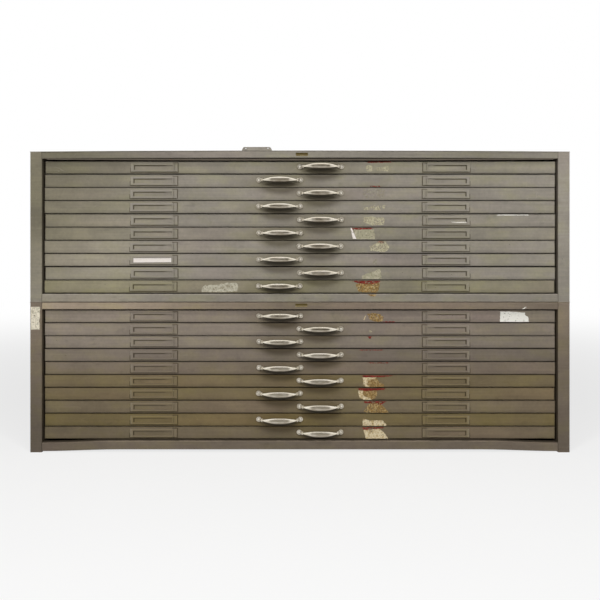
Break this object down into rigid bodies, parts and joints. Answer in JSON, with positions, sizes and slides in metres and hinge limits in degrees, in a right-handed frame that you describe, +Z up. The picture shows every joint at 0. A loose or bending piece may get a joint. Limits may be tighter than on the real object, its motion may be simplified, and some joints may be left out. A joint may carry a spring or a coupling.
{
  "type": "flat file cabinet",
  "caption": "Stacked steel flat file cabinet with shallow full-width sheet drawers, card frames on the fronts and cast bow handles.",
  "frame": {"origin": "middle of the whole object's footprint, handles included, on the surface it stands on", "axes": "+X to the right seen from the front, -Y to the front where the drawers open, +Z up"},
  "size_m": [1.365, 1.0668, 0.7722],
  "materials": {
    "upper_paint": "aged olive-grey enamel, satin, scuffed and stained",
    "lower_paint": "aged brown-olive enamel, satin, darker and more worn than the upper section",
    "handle_metal": "bright plated casting, tarnished at the feet",
    "runner_steel": "plain steel with a dull film of old grease"
  },
  "bodies": {
    "cabinet": {"upper_left_side": "upper_paint", "upper_right_side": "upper_paint", "upper_top_panel": "upper_paint", "upper_back_panel": "upper_paint", "upper_top_rail": "upper_paint", "upper_bottom_rail": "upper_paint", "upper_bottom_pan": "upper_paint", "upper_left_runners": "runner_steel", "upper_right_runners": "runner_steel", "lower_left_side": "lower_paint", "lower_right_side": "lower_paint", "lower_top_panel": "lower_paint", "lower_back_panel": "lower_paint", "lower_top_rail": "lower_paint", "lower_bottom_rail": "lower_paint", "lower_bottom_pan": "lower_paint", "lower_left_runners": "runner_steel", "lower_right_runners": "runner_steel", "top_lug": "upper_paint"},
    "drawer_01": {"drawer_01": "upper_paint", "handle_01": "handle_metal"},
    "drawer_02": {"drawer_02": "upper_paint", "handle_02": "handle_metal"},
    "drawer_03": {"drawer_03": "upper_paint", "handle_03": "handle_metal"},
    "drawer_04": {"drawer_04": "upper_paint", "handle_04": "handle_metal"},
    "drawer_05": {"drawer_05": "upper_paint", "handle_05": "handle_metal"},
    "drawer_06": {"drawer_06": "upper_paint", "handle_06": "handle_metal"},
    "drawer_07": {"drawer_07": "upper_paint", "handle_07": "handle_metal"},
    "drawer_08": {"drawer_08": "upper_paint", "handle_08": "handle_metal"},
    "drawer_09": {"drawer_09": "upper_paint", "handle_09": "handle_metal"},
    "drawer_10": {"drawer_10": "upper_paint", "handle_10": "handle_metal"},
    "drawer_11": {"drawer_11": "lower_paint", "handle_11": "handle_metal"},
    "drawer_12": {"drawer_12": "lower_paint", "handle_12": "handle_metal"},
    "drawer_13": {"drawer_13": "lower_paint", "handle_13": "handle_metal"},
    "drawer_14": {"drawer_14": "lower_paint", "handle_14": "handle_metal"},
    "drawer_15": {"drawer_15": "lower_paint", "handle_15": "handle_metal"},
    "drawer_16": {"drawer_16": "lower_paint", "handle_16": "handle_metal"},
    "drawer_17": {"drawer_17": "lower_paint", "handle_17": "handle_metal"},
    "drawer_18": {"drawer_18": "lower_paint", "handle_18": "handle_metal"},
    "drawer_19": {"drawer_19": "lower_paint", "handle_19": "handle_metal"},
    "drawer_20": {"drawer_20": "lower_paint", "handle_20": "handle_metal"}
  },
  "joints": [
    {"name": "drawer_01_slide", "type": "slide", "parent": "cabinet", "child": "drawer_01", "axis": [0, -1, 0], "range_m": [0, 0.8]},
    {"name": "drawer_02_slide", "type": "slide", "parent": "cabinet", "child": "drawer_02", "axis": [0, -1, 0], "range_m": [0, 0.8]},
    {"name": "drawer_03_slide", "type": "slide", "parent": "cabinet", "child": "drawer_03", "axis": [0, -1, 0], "range_m": [0, 0.8]},
    {"name": "drawer_04_slide", "type": "slide", "parent": "cabinet", "child": "drawer_04", "axis": [0, -1, 0], "range_m": [0, 0.8]},
    {"name": "drawer_05_slide", "type": "slide", "parent": "cabinet", "child": "drawer_05", "axis": [0, -1, 0], "range_m": [0, 0.8]},
    {"name": "drawer_06_slide", "type": "slide", "parent": "cabinet", "child": "drawer_06", "axis": [0, -1, 0], "range_m": [0, 0.8]},
    {"name": "drawer_07_slide", "type": "slide", "parent": "cabinet", "child": "drawer_07", "axis": [0, -1, 0], "range_m": [0, 0.8]},
    {"name": "drawer_08_slide", "type": "slide", "parent": "cabinet", "child": "drawer_08", "axis": [0, -1, 0], "range_m": [0, 0.8]},
    {"name": "drawer_09_slide", "type": "slide", "parent": "cabinet", "child": "drawer_09", "axis": [0, -1, 0], "range_m": [0, 0.8]},
    {"name": "drawer_10_slide", "type": "slide", "parent": "cabinet", "child": "drawer_10", "axis": [0, -1, 0], "range_m": [0, 0.8]},
    {"name": "drawer_11_slide", "type": "slide", "parent": "cabinet", "child": "drawer_11", "axis": [0, -1, 0], "range_m": [0, 0.8]},
    {"name": "drawer_12_slide", "type": "slide", "parent": "cabinet", "child": "drawer_12", "axis": [0, -1, 0], "range_m": [0, 0.8]},
    {"name": "drawer_13_slide", "type": "slide", "parent": "cabinet", "child": "drawer_13", "axis": [0, -1, 0], "range_m": [0, 0.8]},
    {"name": "drawer_14_slide", "type": "slide", "parent": "cabinet", "child": "drawer_14", "axis": [0, -1, 0], "range_m": [0, 0.8]},
    {"name": "drawer_15_slide", "type": "slide", "parent": "cabinet", "child": "drawer_15", "axis": [0, -1, 0], "range_m": [0, 0.8]},
    {"name": "drawer_16_slide", "type": "slide", "parent": "cabinet", "child": "drawer_16", "axis": [0, -1, 0], "range_m": [0, 0.8]},
    {"name": "drawer_17_slide", "type": "slide", "parent": "cabinet", "child": "drawer_17", "axis": [0, -1, 0], "range_m": [0, 0.8]},
    {"name": "drawer_18_slide", "type": "slide", "parent": "cabinet", "child": "drawer_18", "axis": [0, -1, 0], "range_m": [0, 0.8]},
    {"name": "drawer_19_slide", "type": "slide", "parent": "cabinet", "child": "drawer_19", "axis": [0, -1, 0], "range_m": [0, 0.8]},
    {"name": "drawer_20_slide", "type": "slide", "parent": "cabinet", "child": "drawer_20", "axis": [0, -1, 0], "range_m": [0, 0.8]}
  ]
}
